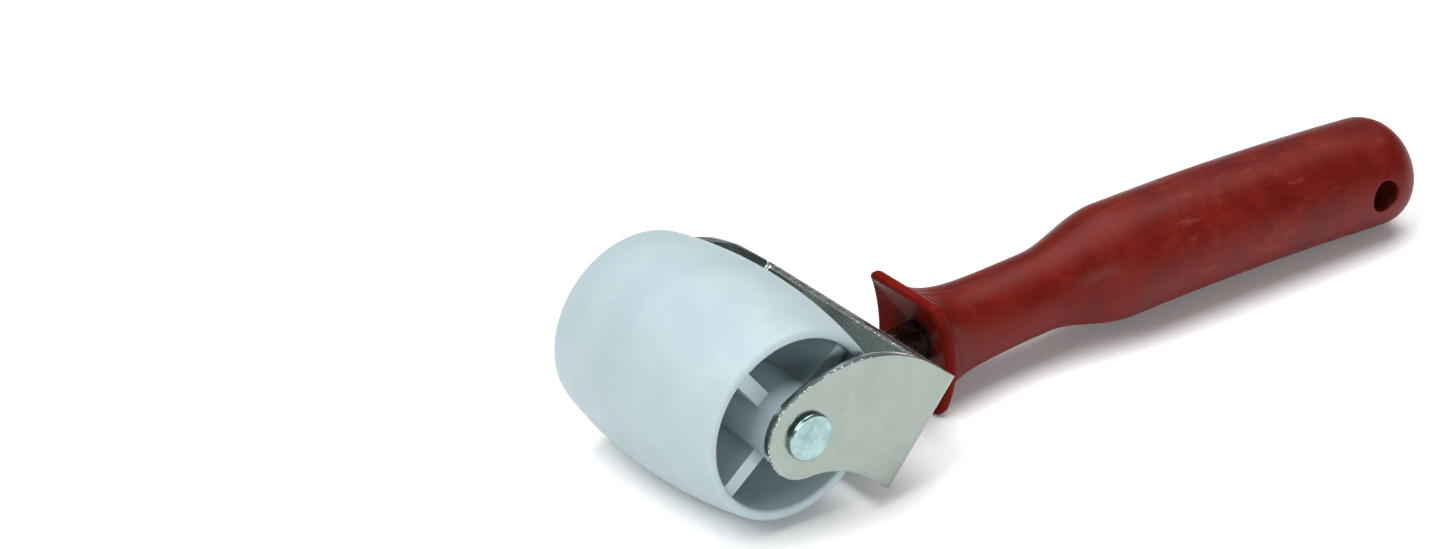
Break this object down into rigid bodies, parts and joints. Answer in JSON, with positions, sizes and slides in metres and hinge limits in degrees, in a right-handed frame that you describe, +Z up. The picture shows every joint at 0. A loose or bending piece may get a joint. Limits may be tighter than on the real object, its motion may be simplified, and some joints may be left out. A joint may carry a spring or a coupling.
{
  "type": "seam roller",
  "caption": "Hand seam roller: a crowned plastic barrel roller spins on a riveted axle in a bent steel fork on a flanged plastic handle with a hang hole.",
  "frame": {"origin": "the point under the middle of the roller where it touches the work; the axle is 22.2 mm straight above it", "axes": "+X from the roller towards the butt of the handle, +Y along the axle towards the peened end of the rivet, +Z up from the surface that the tool lies on"},
  "size_m": [0.1995, 0.0627, 0.0444],
  "materials": {
    "roller_plastic": "moulded, satin, pale blue-grey",
    "axle_steel": "bright zinc plated",
    "plated_sheet": "bright zinc plated, cloudy on the flat faces, sheared edges",
    "plated_rod": "dark, smooth steel rod, welded to the fork",
    "handle_plastic": "dark red moulding, glossy flange, satin scuffed grip"
  },
  "bodies": {
    "frame": {"handle": "handle_plastic", "shank": "plated_rod", "bracket": "plated_sheet", "axle_rivet": "axle_steel", "axle_sleeve": "axle_steel"},
    "roller": {"roller": "roller_plastic"}
  },
  "joints": [
    {"name": "roller_spin", "type": "hinge", "parent": "frame", "child": "roller", "pos_m": [0, 0, 0.0222], "axis": [0, 1, 0], "continuous": true}
  ]
}
